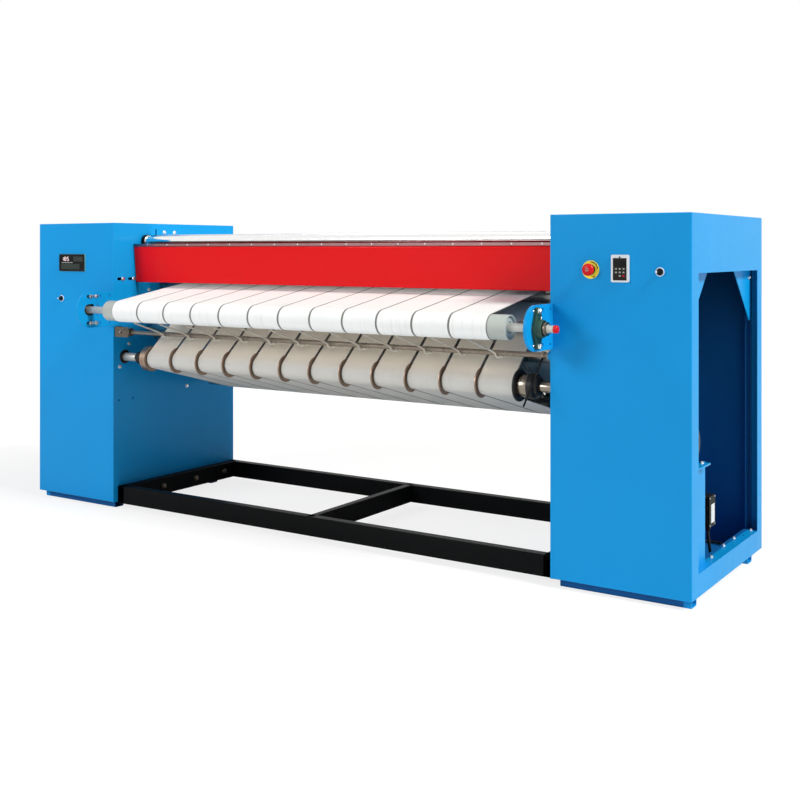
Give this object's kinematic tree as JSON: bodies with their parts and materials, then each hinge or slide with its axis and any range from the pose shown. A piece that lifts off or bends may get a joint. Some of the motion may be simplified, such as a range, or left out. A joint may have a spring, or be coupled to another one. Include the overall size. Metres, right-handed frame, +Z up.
{
  "type": "flatwork ironer",
  "caption": "Wide roller ironer for laundry linen: two blue cabinets with a drum, feed and delivery belts between them, a red finger guard and a black base frame.",
  "frame": {"origin": "on the floor under the middle of the machine's outline", "axes": "+X along the rollers to the drive cabinet with the open side, +Y to the back, +Z up"},
  "size_m": [3.0646, 0.982, 1.25],
  "materials": {
    "blue_paint": "satin sky-blue enamel",
    "black_paint": "semi-gloss black enamel",
    "grey_roller": "satin light grey",
    "green_iron": "dark green painted casting",
    "feed_cloth": "white woven belt",
    "delivery_cloth": "off-white woven belt",
    "roller_steel": "turned steel",
    "dark_steel": "oiled dark steel",
    "bar_steel": "bright bar and wire",
    "red_paint": "glossy signal red",
    "stainless": "brushed stainless sheet",
    "polished_tube": "polished stainless tube",
    "motor_paint": "dark grey motor enamel",
    "yellow_plastic": "yellow",
    "red_plastic": "red",
    "pale_plastic": "pale grey",
    "black_plastic": "black",
    "cable_rubber": "black sheath"
  },
  "bodies": {
    "machine_frame": {"left_side_plate": "blue_paint", "right_side_plate": "blue_paint", "left_cabinet": "blue_paint", "right_cabinet": "blue_paint", "left_side_cover": "blue_paint", "foot_rail_front_left": "blue_paint", "foot_rail_rear_left": "blue_paint", "foot_rail_front_right": "blue_paint", "foot_rail_rear_right": "blue_paint", "base_frame": "black_paint", "feed_bearing_left": "green_iron", "feed_bearing_right": "green_iron", "feed_belt_01": "feed_cloth", "feed_belt_02": "feed_cloth", "feed_belt_03": "feed_cloth", "feed_belt_04": "feed_cloth", "feed_belt_05": "feed_cloth", "feed_belt_06": "feed_cloth", "feed_belt_07": "feed_cloth", "feed_belt_08": "feed_cloth", "feed_belt_09": "feed_cloth", "feed_belt_10": "feed_cloth", "feed_belt_11": "feed_cloth", "feed_belt_12": "feed_cloth", "delivery_belt_01": "delivery_cloth", "delivery_belt_02": "delivery_cloth", "delivery_belt_03": "delivery_cloth", "delivery_belt_04": "delivery_cloth", "delivery_belt_05": "delivery_cloth", "delivery_belt_06": "delivery_cloth", "delivery_belt_07": "delivery_cloth", "delivery_belt_08": "delivery_cloth", "delivery_belt_09": "delivery_cloth", "delivery_belt_10": "delivery_cloth", "delivery_belt_11": "delivery_cloth", "delivery_belt_12": "delivery_cloth", "drive_chain": "dark_steel", "finger_bracket_left": "bar_steel", "guard_rail": "stainless", "hood": "stainless", "top_tube": "polished_tube", "gear_motor": "motor_paint", "estop_base": "yellow_plastic", "keypad": "pale_plastic", "temperature_controller": "black_plastic", "control_box": "black_plastic", "control_cable": "cable_rubber"},
    "feed_roller_body": {"feed_roller": "grey_roller"},
    "nip_roller_body": {"nip_roller": "roller_steel"},
    "delivery_roller_body": {"delivery_roller": "dark_steel"},
    "nose_roller_body": {"nose_roller": "roller_steel"},
    "tail_roller_body": {"tail_roller": "roller_steel"},
    "drum_body": {"drum": "stainless", "drum_sprocket": "dark_steel"},
    "motor_shaft_body": {"motor_sprocket": "dark_steel"},
    "guard_body": {"guard_panel": "red_paint"},
    "finger_bar_body": {"finger_bar": "bar_steel"},
    "estop_body": {"estop_button": "red_plastic"},
    "selector_left_body": {"selector_knob_left": "black_plastic"},
    "selector_right_body": {"selector_knob_right": "black_plastic"}
  },
  "joints": [
    {"name": "drum_spin", "type": "hinge", "parent": "machine_frame", "child": "drum_body", "pos_m": [0, 0.216, 0.895], "axis": [1, 0, 0], "continuous": true},
    {"name": "feed_roller_spin", "type": "hinge", "parent": "machine_frame", "child": "feed_roller_body", "pos_m": [0, -0.419, 0.876], "axis": [1, 0, 0], "continuous": true},
    {"name": "nip_roller_spin", "type": "hinge", "parent": "machine_frame", "child": "nip_roller_body", "pos_m": [0, 0.0009, 0.9649], "axis": [1, 0, 0], "continuous": true},
    {"name": "delivery_roller_spin", "type": "hinge", "parent": "machine_frame", "child": "delivery_roller_body", "pos_m": [0, -0.223, 0.6615], "axis": [1, 0, 0], "continuous": true},
    {"name": "nose_roller_spin", "type": "hinge", "parent": "machine_frame", "child": "nose_roller_body", "pos_m": [0, -0.0742, 0.7777], "axis": [1, 0, 0], "continuous": true},
    {"name": "tail_roller_spin", "type": "hinge", "parent": "machine_frame", "child": "tail_roller_body", "pos_m": [0, 0.2705, 0.5301], "axis": [1, 0, 0], "continuous": true},
    {"name": "motor_shaft_spin", "type": "hinge", "parent": "machine_frame", "child": "motor_shaft_body", "pos_m": [0, -0.171, 0.5063], "axis": [1, 0, 0], "continuous": true},
    {"name": "guard_swing", "type": "hinge", "parent": "machine_frame", "child": "guard_body", "pos_m": [0, -0.168, 1.141], "axis": [1, 0, 0], "range_deg": [0, 8]},
    {"name": "finger_bar_turn", "type": "hinge", "parent": "machine_frame", "child": "finger_bar_body", "pos_m": [0, -0.269, 0.775], "axis": [1, 0, 0], "range_deg": [0, 15]},
    {"name": "estop_press", "type": "slide", "parent": "machine_frame", "child": "estop_body", "axis": [0, 1, 0], "range_m": [0, 0.004], "stiffness_N_per_m": 400},
    {"name": "selector_left_turn", "type": "hinge", "parent": "machine_frame", "child": "selector_left_body", "pos_m": [-1.3788, -0.289, 0.913], "axis": [0, 1, 0], "range_deg": [0, 90]},
    {"name": "selector_right_turn", "type": "hinge", "parent": "machine_frame", "child": "selector_right_body", "pos_m": [1.4298, -0.289, 1.062], "axis": [0, 1, 0], "range_deg": [0, 90]}
  ],
  "couplings": [
    {"joint": "feed_roller_spin", "follows": "drum_spin", "ratio": 4.6429},
    {"joint": "nip_roller_spin", "follows": "drum_spin", "ratio": 8.125},
    {"joint": "delivery_roller_spin", "follows": "drum_spin", "ratio": -5.1316},
    {"joint": "nose_roller_spin", "follows": "drum_spin", "ratio": -3.9},
    {"joint": "tail_roller_spin", "follows": "drum_spin", "ratio": -5.4167},
    {"joint": "motor_shaft_spin", "follows": "drum_spin", "ratio": 3}
  ]
}
